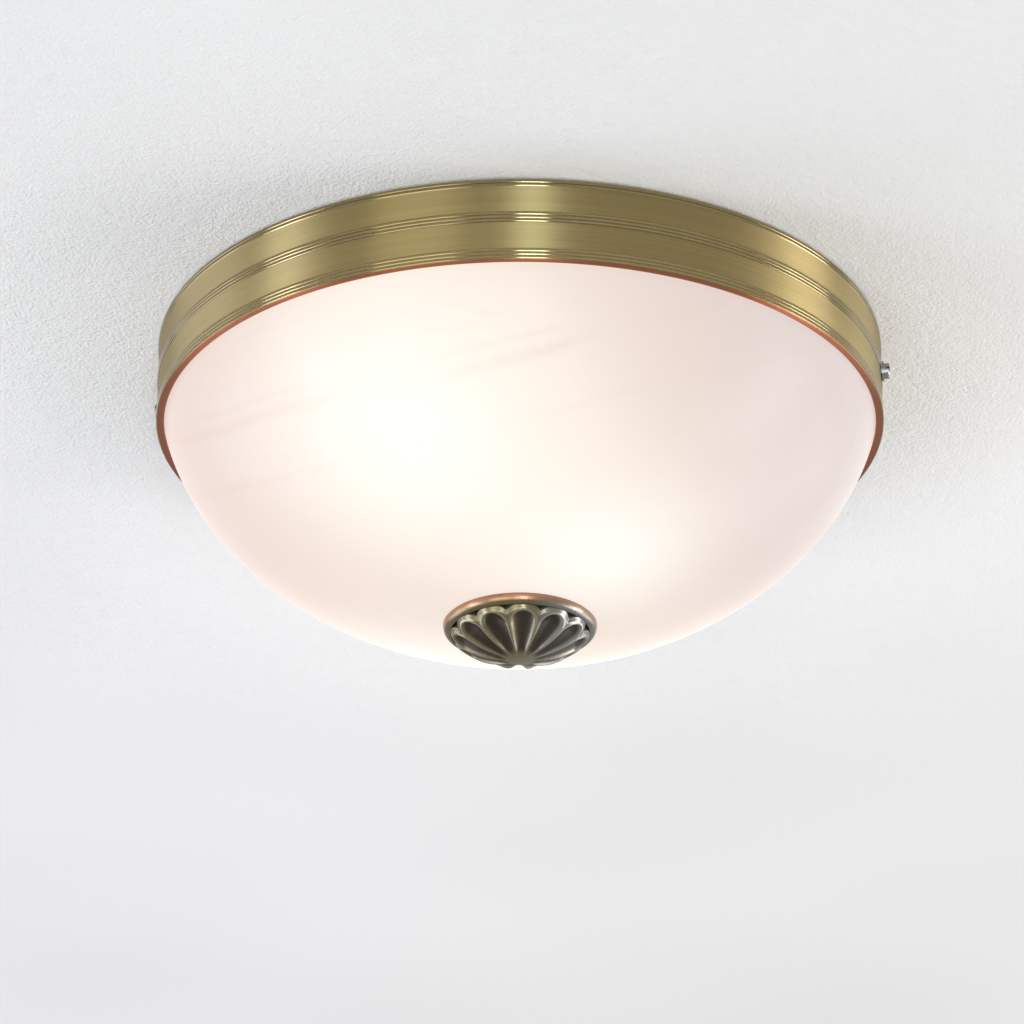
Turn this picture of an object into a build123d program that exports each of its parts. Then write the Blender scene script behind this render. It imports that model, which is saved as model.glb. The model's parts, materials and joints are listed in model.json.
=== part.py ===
from build123d import *
from math import acos, asin, atan, cos, degrees, pi, radians, sin, sqrt, tan
import os

os.makedirs("parts", exist_ok=True)

# Flush mount ceiling light: a brass trim ring carries an alabaster glass bowl under a white
# pressed ceiling pan, and a fluted rosette closes the middle of the glass.
# Millimetres. The origin is the middle of the ceiling face, +Z points up into the ceiling,
# and the two side screws lie on the X axis.

# Trim ring
ring_r = 160.0
ring_wall = 0.9
ring_depth = 37.7
ceiling_gap = 0.3
lip_width = 3.2
ring_edge_r = 0.3
reed_height = 0.35
reed_pitch = 1.65
reed_gap = 0.25
top_reeds = 2
middle_reeds = 3
bottom_reeds = 3
top_reed_drop = 0.9
middle_reed_drop = 17.75
bottom_reed_lift = 1.0

# Ceiling pan
pan_gap = 7.5
pan_sheet = 1.0
pan_depth = 26.0
pan_hem = 4.0
pan_corner_r = 4.0
dish_margin = 1.5
dish_depth = 3.0
dish_slope = 7.0
fixing_spacing = 210.0
fixing_slot_w = 5.5
fixing_slot_len = 12.0

# Glass bowl, an ellipsoid shell with a rim that sits on the lip of the ring
bowl_b = 121.7
bowl_centre_drop = 11.2
glass_wall = 4.0
neck_clear = 0.5
neck_drop = 1.2
rim_clear = 0.5
rim_height = 3.5
rim_round = 0.8
glass_hole_r = 6.0
gasket_thick = 0.8

# Glass clips, welded inside the ring
clip_count = 3
clip_sheet = 0.6
clip_width = 12.0
clip_leg = 16.0
clip_reach = 4.6
clip_bend_r = 1.2

# Side screws, washers and the nuts riveted into the ring
side_screw_drop = 17.3
screw_r = 1.96
screw_clear = 0.04
screw_head_r = 3.5
screw_head = 2.6
screw_slot_w = 1.0
screw_slot_deep = 1.3
washer_r = 4.5
washer_thick = 0.8
seat_clear = 0.03
tip_clear = 0.1
nut_flange_r = 5.0
nut_flange = 0.8
nut_body_r = 3.4
nut_length = 4.0
spigot_r = 2.9
hole_clear = 0.1

# Rosette
rosette_r = 33.4
rosette_rim = 3.6
rosette_drop = 14.6
rosette_sink = 0.9
dome_r = 45.0
rim_width = 3.4
lobe_r = 9.0
petals = 12
rosette_turn = 10.0
scoop_w = 4.7
scoop_edge = 1.8
scoop_deep = 2.8
scoop_start_r = 4.0
scoop_start_deep = 0.35
rosette_wall = 1.8
boss_r = 7.5
boss_bore = 6.5
rosette_clear = 0.1

# Rosette fastening
stud_r = 2.95
stud_clear = 0.05
stud_end = 2.0
rubber_r = 10.0
rubber_thick = 1.5
plate_r = 9.0
plate_thick = 1.2
nut_across = 10.0
nut_thick = 5.0

# Lampholders and bracket
lamp_azimuth = 60.0
lamp_tilt = 35.0
face_out = 19.7
face_drop = 27.3
bracket_sheet = 1.2
bracket_w = 30.0
bracket_floor = 47.0
bracket_foot = 12.0
bracket_bend_r = 2.5
rivet_r = 1.6
rivet_head_r = 3.2
rivet_head = 1.3
rivet_clear = 0.05
holder_r = 12.0
holder_base_r = 10.5
holder_base = 9.0
shell_r = 7.05
shell_sheet = 0.5
shell_clear = 0.1
shell_floor = 14.0
shell_gap = 1.0
tongue_rise = 12.0
tongue_w = 4.0
tongue_sheet = 0.4
tongue_foot = 8.5
tongue_reach = 5.5
holder_screw_r = 1.45
holder_screw_deep = 6.0
holder_screw_head_r = 2.7
holder_screw_head = 1.8

# Bulbs
cap_r = 6.9
cap_start = 5.0
cap_end = 25.0
cap_skirt = 4.0
insulator_r = 4.0
tip_r = 2.5
tip_h = 1.2
neck_r = 8.4
neck_len = 4.0
globe_r = 22.5
globe_wall = 1.0
bulb_len = 78.0
contact_clear = 0.05

# Terminal block, cable entry and leads
block_out = 52.0
block_len = 20.0
block_w = 26.0
block_h = 13.0
pole_pitch = 12.0
pole_bore_r = 2.9
clamp_screw_r = 1.7
clamp_screw_span = 10.0
block_screw_r = 1.5
block_screw_head_r = 2.6
grommet_gap = 3.5
grommet_hole_r = 4.0
grommet_neck_r = 6.5
grommet_flange_r = 8.5
grommet_flange = 1.5
grommet_clear = 0.1
earth_out = 62.0
earth_side = 30.0
earth_r = 1.95
earth_head_r = 3.6
earth_head = 2.4
earth_washer_r = 5.0
earth_washer = 0.8
earth_tip = 2.0
lead_r = 1.2
lead_apart = 1.35
lead_into_block = 3.0
lead_into_holder = 2.5
lead_straight = 10.5
lead_hole_clear = 0.1
lead_low = 2.6
lead_high = 6.4

# Levels and radii that follow from the sizes above
ring_top = -ceiling_gap
ring_bottom = ring_top - ring_depth
ring_in = ring_r - ring_wall
lip_r = ring_r - lip_width
pan_r = ring_r - pan_gap
lip_top = ring_bottom + ring_wall
reed_r = ring_r + reed_height
neck_r_glass = lip_r - neck_clear
rim_seat = lip_top + gasket_thick
rim_r = ring_in - rim_clear
rim_top = rim_seat + rim_height
bowl_mid = -bowl_centre_drop
neck_end = ring_bottom - neck_drop
bowl_a = neck_r_glass / sqrt(1 - ((neck_end - bowl_mid) / bowl_b) ** 2)
dish_z = -dish_depth
plate_z = dish_z - pan_sheet
screw_z = -side_screw_drop
flower_r = rosette_r - rim_width
scoop_r = flower_r - scoop_edge - scoop_w
holder_len = tongue_rise + cap_end - cap_skirt + shell_gap
grommet_out = block_out + block_len / 2 + grommet_gap + grommet_flange_r
dish_r = grommet_out + grommet_flange_r + dish_margin
block_azimuth = lamp_azimuth + 90


def bowl_level(r, skin=0.0):
    """Level of the glass at radius r, skin mm inside its outer face."""
    return bowl_mid - (bowl_b - skin) * sqrt(1 - (r / (bowl_a - skin)) ** 2)


def bowl_angle(r, skin=0.0):
    """Angle on the ellipse of the glass at radius r, in degrees below its widest point."""
    return -degrees(acos(r / (bowl_a - skin)))


def around(out, side, level, azimuth):
    """A point out mm along the azimuth, side mm to its left, at a level."""
    a = radians(azimuth)
    return Vector(out * cos(a) - side * sin(a), out * sin(a) + side * cos(a), level)


def upright(azimuth):
    """Plane through the Z axis along an azimuth, with its Y up."""
    return Plane(
        origin=(0, 0, 0), x_dir=around(1, 0, 0, azimuth), z_dir=around(0, -1, 0, azimuth)
    )


def crest_levels():
    """Levels of the reed crests, from the top of the ring down."""
    top = [ring_top - top_reed_drop - i * reed_pitch for i in range(top_reeds)]
    first = ring_top - middle_reed_drop + (middle_reeds - 1) * reed_pitch / 2
    middle = [first - i * reed_pitch for i in range(middle_reeds)]
    first = ring_bottom + bottom_reed_lift + (bottom_reeds - 1) * reed_pitch
    bottom = [first - i * reed_pitch for i in range(bottom_reeds)]
    return top + middle + bottom


# Trim ring: a spun wall with three bands of fine reeds and a lip turned in under the glass
reed_half = (reed_pitch - reed_gap) / 2
with BuildPart() as trim_ring:
    with BuildSketch(Plane.XZ):
        with BuildLine():
            at = ring_top
            for crest in crest_levels():
                if at - (crest + reed_half) > 0.01:
                    Line((ring_r, at), (ring_r, crest + reed_half))
                    at = crest + reed_half
                low = crest - reed_half
                ThreePointArc((ring_r, at), (reed_r, (at + low) / 2), (ring_r, low))
                at = low
            Polyline(
                (ring_r, at),
                (ring_r - ring_edge_r, ring_bottom),
                (lip_r, ring_bottom),
                (lip_r, lip_top),
                (ring_in, lip_top),
                (ring_in, ring_top),
                (ring_r, ring_top),
            )
        make_face()
    revolve(axis=Axis.Z)
    with BuildSketch(Plane.YZ.offset(-ring_r * 1.1)):
        with Locations((0, screw_z)):
            Circle(spigot_r + hole_clear)
    extrude(amount=2.2 * ring_r, mode=Mode.SUBTRACT)
trim_ring.part.label = "trim_ring"
export_step(trim_ring.part, "parts/trim_ring.step")

# Nuts riveted through the ring from inside, one for each side screw
flange_x = sqrt(ring_in**2 - nut_flange_r**2)
for number, turn in ((1, 0), (2, 180)):
    screw_axis = Axis((0, 0, screw_z), around(1, 0, 0, turn))
    with BuildPart() as ring_nut:
        with BuildSketch(Plane.XY.rotated((0, 0, turn)).offset(screw_z)):
            with BuildLine():
                Polyline(
                    (ring_r, screw_r + screw_clear),
                    (ring_r, spigot_r),
                    (flange_x, spigot_r),
                    (flange_x, nut_flange_r),
                    (flange_x - nut_flange, nut_flange_r),
                    (flange_x - nut_flange, nut_body_r),
                    (flange_x - nut_length, nut_body_r),
                    (flange_x - nut_length, screw_r + screw_clear),
                    close=True,
                )
            make_face()
        revolve(axis=screw_axis)
    ring_nut.part.label = f"ring_nut_{number}"
    export_step(ring_nut.part, f"parts/ring_nut_{number}.step")

# Side screws: slotted cheese heads with a captive washer, tips against the pan wall
washer_in = reed_r + seat_clear
head_in = washer_in + washer_thick + seat_clear
head_out = head_in + screw_head
tip_x = pan_r + tip_clear
for number, turn in ((1, 0), (2, 180)):
    screw_axis = Axis((0, 0, screw_z), around(1, 0, 0, turn))
    with BuildPart() as side_washer:
        with BuildSketch(Plane.XY.rotated((0, 0, turn)).offset(screw_z)):
            with BuildLine():
                Polyline(
                    (washer_in, screw_r + screw_clear),
                    (washer_in, washer_r),
                    (washer_in + washer_thick, washer_r),
                    (washer_in + washer_thick, screw_r + screw_clear),
                    close=True,
                )
            make_face()
        revolve(axis=screw_axis)
    side_washer.part.label = f"side_washer_{number}"
    export_step(side_washer.part, f"parts/side_washer_{number}.step")

    with BuildPart() as side_screw:
        with BuildSketch(Plane.XY.rotated((0, 0, turn)).offset(screw_z)):
            with BuildLine():
                Polyline(
                    (tip_x, 0),
                    (tip_x, screw_r * 0.7),
                    (tip_x + screw_r * 0.3, screw_r),
                    (head_in, screw_r),
                    (head_in, screw_head_r),
                    (head_out - screw_head_r * 0.12, screw_head_r),
                    (head_out, screw_head_r * 0.88),
                    (head_out, 0),
                    close=True,
                )
            make_face()
        revolve(axis=screw_axis)
        with BuildSketch(
            Plane(
                origin=around(head_out - screw_slot_deep, 0, screw_z, turn),
                x_dir=around(0, 1, 0, turn),
                z_dir=around(1, 0, 0, turn),
            )
        ):
            Rectangle(3 * screw_head_r, screw_slot_w)
        extrude(amount=screw_slot_deep + 1, mode=Mode.SUBTRACT)
    side_screw.part.label = f"side_screw_{number}"
    export_step(side_screw.part, f"parts/side_screw_{number}.step")

# Glass bowl: an ellipsoid shell with a straight neck through the lip and a rim on the gasket
rim_in = (bowl_a - glass_wall) * sqrt(1 - ((rim_top - bowl_mid) / (bowl_b - glass_wall)) ** 2)
with BuildPart() as glass_bowl:
    with BuildSketch(Plane.XZ):
        with BuildLine():
            outside = EllipticalCenterArc(
                (0, bowl_mid),
                bowl_a,
                bowl_b,
                start_angle=bowl_angle(glass_hole_r),
                arc_size=bowl_angle(neck_r_glass) - bowl_angle(glass_hole_r),
            )
            inside = EllipticalCenterArc(
                (0, bowl_mid),
                bowl_a - glass_wall,
                bowl_b - glass_wall,
                start_angle=bowl_angle(glass_hole_r, glass_wall),
                arc_size=bowl_angle(rim_in, glass_wall) - bowl_angle(glass_hole_r, glass_wall),
            )
            Polyline(outside @ 1, (neck_r_glass, rim_seat), (rim_r, rim_seat), (rim_r, rim_top), inside @ 1)
            Line(outside @ 0, inside @ 0)
        make_face()
        fillet(vertices().sort_by_distance((rim_r, rim_top))[0], rim_round)
        fillet(vertices().sort_by_distance((rim_in, rim_top))[0], rim_round)
    revolve(axis=Axis.Z)
glass_bowl.part.label = "glass_bowl"
export_step(glass_bowl.part, "parts/glass_bowl.step")

# Gasket between the glass rim and the lip
with BuildPart() as glass_gasket:
    with BuildSketch(Plane.XY.offset(lip_top)):
        Circle(rim_r)
        Circle(lip_r + neck_clear / 2, mode=Mode.SUBTRACT)
    extrude(amount=gasket_thick)
glass_gasket.part.label = "glass_gasket"
export_step(glass_gasket.part, "parts/glass_gasket.step")

# Spring clips that hold the glass rim down, bent strips curved to the ring
clip_turn = degrees(clip_width / ring_in)
for number in range(1, clip_count + 1):
    clip_azimuth = 90 + (number - 1) * 360 / clip_count
    with BuildPart() as glass_clip:
        with BuildSketch(upright(clip_azimuth - clip_turn / 2)):
            with BuildLine():
                bend = FilletPolyline(
                    (ring_in, rim_top + clip_leg),
                    (ring_in, rim_top),
                    (ring_in - clip_reach, rim_top),
                    radius=clip_bend_r + clip_sheet,
                )
                offset(bend, amount=clip_sheet, side=Side.RIGHT)
            make_face()
        revolve(axis=Axis.Z, revolution_arc=clip_turn)
    glass_clip.part.label = f"glass_clip_{number}"
    export_step(glass_clip.part, f"parts/glass_clip_{number}.step")

# Rosette: rounded rim, sunk ring, and a domed flower with a scalloped edge and scooped petals
rosette_tip = bowl_level(0) - rosette_drop
dome_mid = rosette_tip + dome_r
back_in = flower_r - 1.0
back_out = rosette_r - 0.8
back_z = bowl_level(back_out) - rosette_clear
rim_z = back_z - rosette_rim
sink_r = flower_r + 0.4
sink_z = rim_z + rosette_sink
boss_top = bowl_level(glass_hole_r) - rubber_thick
lobe_out = flower_r - lobe_r


def scoop_section(share):
    """Plane and radius of a round section of the scoop, share 0 at its start, 1 at its end."""
    r = scoop_start_r + (scoop_r - scoop_start_r) * share
    half = scoop_w * r / scoop_r
    deep = scoop_start_deep + (scoop_deep - scoop_start_deep) * share
    size = (half**2 + deep**2) / (2 * deep)
    lean = asin(r / dome_r)
    reach = dome_r + size - deep
    centre = (reach * sin(lean), 0, dome_mid - reach * cos(lean))
    return Plane(origin=centre, x_dir=(0, 1, 0), z_dir=(cos(lean), 0, sin(lean))), size


with BuildPart() as scoop:
    for share in (0, 0.5, 1):
        section, size = scoop_section(share)
        with BuildSketch(section):
            Circle(size)
    loft()
    with Locations(section):
        Sphere(size)

with BuildPart() as rosette:
    with BuildSketch(Plane.XY.offset(rosette_tip)):
        Circle(lobe_out)
        with PolarLocations(lobe_out, petals, start_angle=rosette_turn):
            Circle(lobe_r)
    extrude(amount=sink_z - rosette_tip + 0.5)
    with Locations((0, 0, dome_mid)):
        Sphere(dome_r, mode=Mode.INTERSECT)
    with BuildSketch(Plane.XZ):
        with BuildLine():
            Polyline(
                (rosette_r, back_z - 0.9),
                (back_out, back_z),
                (back_in, bowl_level(back_in) - rosette_clear),
                (0, bowl_level(back_in) - rosette_clear),
                (0, sink_z),
                (sink_r, sink_z),
                (sink_r + 0.3, rim_z),
            )
            ThreePointArc(
                (sink_r + 0.3, rim_z),
                (rosette_r - 0.22 * (rosette_r - sink_r), rim_z + 0.3 * rosette_rim),
                (rosette_r, back_z - 0.9),
            )
        make_face()
    revolve(axis=Axis.Z)
    with Locations((0, 0, dome_mid)):
        Sphere(dome_r - scoop_deep - rosette_wall, mode=Mode.SUBTRACT)
    with BuildSketch(Plane.XY.offset(boss_top)):
        Circle(boss_r)
    extrude(amount=dome_mid - sqrt((dome_r - scoop_deep) ** 2 - boss_r**2) - boss_top)
    with BuildSketch(Plane.XY.offset(boss_top)):
        Circle(stud_r + stud_clear)
    extrude(amount=-boss_bore, mode=Mode.SUBTRACT)
    with PolarLocations(0, petals, start_angle=rosette_turn):
        add(scoop.part, mode=Mode.SUBTRACT)
rosette.part.label = "rosette"
export_step(rosette.part, "parts/rosette.step")

# Rosette fastening: stud, rubber washers on both sides of the glass, plate washer and nut
inner_seat = bowl_level(rubber_r, glass_wall)
plate_seat = inner_seat + rubber_thick
nut_seat = plate_seat + plate_thick
stud_top = nut_seat + nut_thick + stud_end
with BuildPart() as rosette_stud:
    with BuildSketch(Plane.XY.offset(boss_top - boss_bore + stud_clear)):
        Circle(stud_r)
    extrude(amount=stud_top - (boss_top - boss_bore + stud_clear))
    chamfer(faces().sort_by(Axis.Z)[-1].edges(), stud_r * 0.15)
rosette_stud.part.label = "rosette_stud"
export_step(rosette_stud.part, "parts/rosette_stud.step")

with BuildPart() as rubber_outside:
    with BuildSketch(Plane.XY.offset(boss_top)):
        Circle(rubber_r)
        Circle(stud_r + stud_clear, mode=Mode.SUBTRACT)
    extrude(amount=bowl_level(glass_hole_r) - boss_top)
rubber_outside.part.label = "rubber_washer_outside"
export_step(rubber_outside.part, "parts/rubber_washer_outside.step")

with BuildPart() as rubber_inside:
    with BuildSketch(Plane.XY.offset(inner_seat)):
        Circle(rubber_r)
        Circle(stud_r + stud_clear, mode=Mode.SUBTRACT)
    extrude(amount=rubber_thick)
rubber_inside.part.label = "rubber_washer_inside"
export_step(rubber_inside.part, "parts/rubber_washer_inside.step")

with BuildPart() as plate_washer:
    with BuildSketch(Plane.XY.offset(plate_seat)):
        Circle(plate_r)
        Circle(stud_r + stud_clear, mode=Mode.SUBTRACT)
    extrude(amount=plate_thick)
plate_washer.part.label = "plate_washer"
export_step(plate_washer.part, "parts/plate_washer.step")

with BuildPart() as rosette_nut:
    with BuildSketch(Plane.XY.offset(nut_seat)):
        RegularPolygon(nut_across / 2, 6, major_radius=False)
        Circle(stud_r + stud_clear, mode=Mode.SUBTRACT)
    extrude(amount=nut_thick)
rosette_nut.part.label = "rosette_nut"
export_step(rosette_nut.part, "parts/rosette_nut.step")

# Ceiling pan: pressed sheet with a dished middle, a rounded shoulder and a turned-in hem
tilt = radians(lamp_tilt)
foot_z = plate_z - bracket_sheet
foot_in = face_out + (foot_z + face_drop) * tan(tilt)
rivet_out = foot_in + bracket_foot / 2
slope_turn = pan_sheet * tan(0.5 * atan(dish_depth / dish_slope))
with BuildPart() as ceiling_pan:
    with BuildSketch(Plane.XZ):
        with BuildLine():
            Polyline(
                (0, dish_z),
                (dish_r, dish_z),
                (dish_r + dish_slope, 0),
                (pan_r, 0),
                (pan_r, -pan_depth),
                (pan_r - pan_hem, -pan_depth),
                (pan_r - pan_hem, -pan_depth + pan_sheet),
                (pan_r - pan_sheet, -pan_depth + pan_sheet),
                (pan_r - pan_sheet, -pan_sheet),
                (dish_r + dish_slope + slope_turn, -pan_sheet),
                (dish_r + slope_turn, plate_z),
                (0, plate_z),
                close=True,
            )
        make_face()
        fillet(vertices().sort_by_distance((pan_r, 0))[0], pan_corner_r)
        fillet(
            vertices().sort_by_distance((pan_r - pan_sheet, -pan_sheet))[0],
            pan_corner_r - pan_sheet,
        )
    revolve(axis=Axis.Z)
    with BuildSketch(Plane.XY):
        with GridLocations(fixing_spacing, 0, 2, 1):
            SlotOverall(fixing_slot_len, fixing_slot_w)
        for azimuth in (lamp_azimuth, lamp_azimuth + 180):
            with Locations(around(rivet_out, 0, 0, azimuth)):
                Circle(rivet_r + rivet_clear)
        with Locations(around(grommet_out, 0, 0, block_azimuth)):
            Circle(grommet_neck_r + grommet_clear)
        with Locations(around(block_out, 0, 0, block_azimuth)):
            Circle(block_screw_r + hole_clear)
        with Locations(around(earth_out, earth_side, 0, block_azimuth)):
            Circle(earth_r + hole_clear)
    extrude(amount=plate_z - 1, mode=Mode.SUBTRACT)
ceiling_pan.part.label = "ceiling_pan"
export_step(ceiling_pan.part, "parts/ceiling_pan.step")

# Cable grommet in the dished middle of the pan
with BuildPart() as cable_grommet:
    grommet_axis = Axis(around(grommet_out, 0, 0, block_azimuth), (0, 0, 1))
    with BuildSketch(
        Plane(
            origin=around(grommet_out, 0, 0, block_azimuth),
            x_dir=around(1, 0, 0, block_azimuth),
            z_dir=around(0, -1, 0, block_azimuth),
        )
    ):
        with BuildLine():
            Polyline(
                (grommet_hole_r, dish_z + grommet_flange),
                (grommet_flange_r - 0.6, dish_z + grommet_flange),
                (grommet_flange_r, dish_z),
                (grommet_neck_r, dish_z),
                (grommet_neck_r, plate_z),
                (grommet_flange_r, plate_z),
                (grommet_flange_r - 0.6, plate_z - grommet_flange),
                (grommet_hole_r, plate_z - grommet_flange),
                close=True,
            )
        make_face()
    revolve(axis=grommet_axis)
cable_grommet.part.label = "cable_grommet"
export_step(cable_grommet.part, "parts/cable_grommet.step")


def lamp_at(azimuth, along):
    """A point on the axis of a lamp, along mm out from the face of the bracket."""
    return around(
        face_out + along * cos(tilt), 0, -face_drop - along * sin(tilt), azimuth
    )


def lamp_axis(azimuth):
    return Axis(lamp_at(azimuth, 0), lamp_at(azimuth, 1) - lamp_at(azimuth, 0))


def lamp_profile(azimuth, along=0.0):
    """Plane through a lamp's axis: X to its left side, Y out along the axis."""
    side = around(0, 1, 0, azimuth)
    return Plane(
        origin=lamp_at(azimuth, along), x_dir=side, z_dir=side.cross(lamp_axis(azimuth).direction)
    )


# Bracket: one folded strip, its two sloping faces carry the lampholders
floor_half = face_out + (face_drop - bracket_floor) * tan(tilt)
with BuildPart() as lamp_bracket:
    with BuildSketch(upright(lamp_azimuth)):
        with BuildLine():
            strip = FilletPolyline(
                (foot_in + bracket_foot, foot_z),
                (foot_in, foot_z),
                (floor_half, -bracket_floor),
                (-floor_half, -bracket_floor),
                (-foot_in, foot_z),
                (-foot_in - bracket_foot, foot_z),
                radius=bracket_bend_r,
            )
            offset(strip, amount=bracket_sheet, side=Side.RIGHT)
        make_face()
    extrude(amount=bracket_w / 2, both=True)
    for azimuth in (lamp_azimuth, lamp_azimuth + 180):
        with BuildSketch(Plane(origin=lamp_at(azimuth, 1), z_dir=-lamp_axis(azimuth).direction)):
            Circle(holder_screw_r + hole_clear)
        extrude(amount=bracket_sheet + 2, mode=Mode.SUBTRACT)
        with BuildSketch(Plane(origin=around(rivet_out, 0, foot_z - 1, azimuth))):
            Circle(rivet_r + rivet_clear)
        extrude(amount=bracket_sheet + 2, mode=Mode.SUBTRACT)
lamp_bracket.part.label = "lamp_bracket"
export_step(lamp_bracket.part, "parts/lamp_bracket.step")

bore_r = shell_r + shell_sheet + shell_clear
neck_top = cap_end + neck_len
globe_mid = bulb_len - globe_r


def tangent_on_globe(size, neck):
    """Where a line from the top of the neck touches a globe of a given radius."""
    away = sqrt(neck**2 + (globe_mid - neck_top) ** 2)
    lean = asin(neck / away) + acos(size / away)
    return (size * sin(lean), globe_mid - size * cos(lean))


for number, azimuth in ((1, lamp_azimuth), (2, lamp_azimuth + 180)):
    this_axis = lamp_axis(azimuth)
    outward = this_axis.direction

    # Rivet that holds one foot of the bracket to the pan
    with BuildPart() as rivet:
        with BuildSketch(upright(azimuth)):
            with BuildLine():
                Polyline(
                    (rivet_out, dish_z + rivet_head),
                    (rivet_out + rivet_head_r * 0.6, dish_z + rivet_head),
                    (rivet_out + rivet_head_r * 0.85, dish_z),
                    (rivet_out + rivet_r, dish_z),
                    (rivet_out + rivet_r, foot_z),
                    (rivet_out + rivet_head_r, foot_z),
                    (rivet_out + rivet_head_r * 0.6, foot_z - rivet_head),
                    (rivet_out, foot_z - rivet_head),
                    close=True,
                )
            make_face()
        revolve(axis=Axis(around(rivet_out, 0, 0, azimuth), (0, 0, 1)))
    rivet.part.label = f"bracket_rivet_{number}"
    export_step(rivet.part, f"parts/bracket_rivet_{number}.step")

    # Lampholder body, bored for the screw shell, with two side holes for the leads
    with BuildPart() as holder_body:
        with BuildSketch(lamp_profile(azimuth)):
            with BuildLine():
                Polyline(
                    (holder_screw_r + 0.05, 0),
                    (holder_base_r, 0),
                    (holder_base_r, holder_base),
                    (holder_r, holder_base + 1.5),
                    (holder_r, holder_len - 1),
                    (holder_r - 1, holder_len),
                    (bore_r, holder_len),
                    (bore_r, tongue_foot),
                    (0, tongue_foot),
                    (0, holder_screw_deep + 0.3),
                    (holder_screw_r + 0.05, holder_screw_deep + 0.3),
                    close=True,
                )
            make_face()
        revolve(axis=this_axis)
        for along in (lead_low, lead_high):
            with BuildSketch(
                Plane(
                    origin=lamp_at(azimuth, along) + around(holder_base_r + 2, 0, 0, block_azimuth),
                    z_dir=around(-1, 0, 0, block_azimuth),
                )
            ):
                Circle(lead_r + lead_hole_clear)
            extrude(amount=2 + lead_into_holder + 0.5, mode=Mode.SUBTRACT)
    holder_body.part.label = f"holder_body_{number}"
    export_step(holder_body.part, f"parts/holder_body_{number}.step")

    # Screw shell that takes the cap of the bulb
    with BuildPart() as holder_shell:
        with BuildSketch(lamp_profile(azimuth)):
            with Locations((shell_r + shell_sheet / 2, (shell_floor + holder_len - shell_gap) / 2)):
                Rectangle(shell_sheet, holder_len - shell_gap - shell_floor)
        revolve(axis=this_axis)
    holder_shell.part.label = f"holder_shell_{number}"
    export_step(holder_shell.part, f"parts/holder_shell_{number}.step")

    # Sprung tongue under the tip of the bulb
    with BuildPart() as holder_tongue:
        with BuildSketch(lamp_profile(azimuth)):
            with BuildLine():
                tongue_top = tongue_rise - contact_clear - tongue_sheet
                tongue = FilletPolyline(
                    (-tongue_reach, tongue_foot),
                    (-tongue_reach / 2, tongue_foot),
                    (0, tongue_top),
                    (tongue_reach / 2, tongue_top),
                    radius=2 * tongue_sheet,
                )
                offset(tongue, amount=tongue_sheet, side=Side.LEFT)
            make_face()
        extrude(amount=tongue_w / 2, both=True)
    holder_tongue.part.label = f"holder_tongue_{number}"
    export_step(holder_tongue.part, f"parts/holder_tongue_{number}.step")

    # Screw through the sloping face into the base of the lampholder
    with BuildPart() as holder_screw:
        with BuildSketch(lamp_profile(azimuth)):
            with BuildLine():
                Polyline(
                    (0, holder_screw_deep),
                    (holder_screw_r, holder_screw_deep),
                    (holder_screw_r, -bracket_sheet),
                    (holder_screw_head_r, -bracket_sheet),
                    (holder_screw_head_r * 0.7, -bracket_sheet - holder_screw_head),
                    (0, -bracket_sheet - holder_screw_head),
                    close=True,
                )
            make_face()
        revolve(axis=this_axis)
    holder_screw.part.label = f"holder_screw_{number}"
    export_step(holder_screw.part, f"parts/holder_screw_{number}.step")

    # Bulb: solder tip, insulator, metal cap and hollow glass globe
    with BuildPart() as bulb_tip:
        with BuildSketch(lamp_profile(azimuth, tongue_rise)):
            with BuildLine():
                Polyline((0, tip_h), (0, 0), (tip_r * 0.7, 0))
                ThreePointArc((tip_r * 0.7, 0), (tip_r * 0.94, tip_h * 0.35), (tip_r, tip_h))
                Line((tip_r, tip_h), (0, tip_h))
            make_face()
        revolve(axis=this_axis)
    bulb_tip.part.label = f"bulb_tip_{number}"
    export_step(bulb_tip.part, f"parts/bulb_tip_{number}.step")

    with BuildPart() as bulb_insulator:
        with BuildSketch(lamp_profile(azimuth, tongue_rise)):
            with BuildLine():
                Polyline(
                    (0, tip_h), (insulator_r, tip_h), (cap_r * 0.92, cap_start), (0, cap_start),
                    close=True,
                )
            make_face()
        revolve(axis=this_axis)
    bulb_insulator.part.label = f"bulb_insulator_{number}"
    export_step(bulb_insulator.part, f"parts/bulb_insulator_{number}.step")

    with BuildPart() as bulb_cap:
        with BuildSketch(lamp_profile(azimuth, tongue_rise)):
            with BuildLine():
                Polyline(
                    (0, cap_start),
                    (cap_r * 0.92, cap_start),
                    (cap_r, cap_start + cap_r * 0.1),
                    (cap_r, cap_end - cap_skirt),
                    (neck_r - 0.2, cap_end),
                    (0, cap_end),
                    close=True,
                )
            make_face()
        revolve(axis=this_axis)
    bulb_cap.part.label = f"bulb_cap_{number}"
    export_step(bulb_cap.part, f"parts/bulb_cap_{number}.step")

    with BuildPart() as bulb_globe:
        with BuildSketch(lamp_profile(azimuth, tongue_rise)):
            with BuildLine():
                inner_r = globe_r - globe_wall
                inner_neck = neck_r - globe_wall
                outer_at = tangent_on_globe(globe_r, neck_r)
                inner_at = tangent_on_globe(inner_r, inner_neck)
                Polyline(inner_at, (inner_neck, neck_top), (inner_neck, cap_end),
                         (neck_r, cap_end), (neck_r, neck_top), outer_at)
                ThreePointArc(outer_at, (globe_r, globe_mid), (0, bulb_len))
                Line((0, bulb_len), (0, bulb_len - globe_wall))
                ThreePointArc((0, bulb_len - globe_wall), (inner_r, globe_mid), inner_at)
            make_face()
        revolve(axis=this_axis)
    bulb_globe.part.label = f"bulb_globe_{number}"
    export_step(bulb_globe.part, f"parts/bulb_globe_{number}.step")

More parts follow.
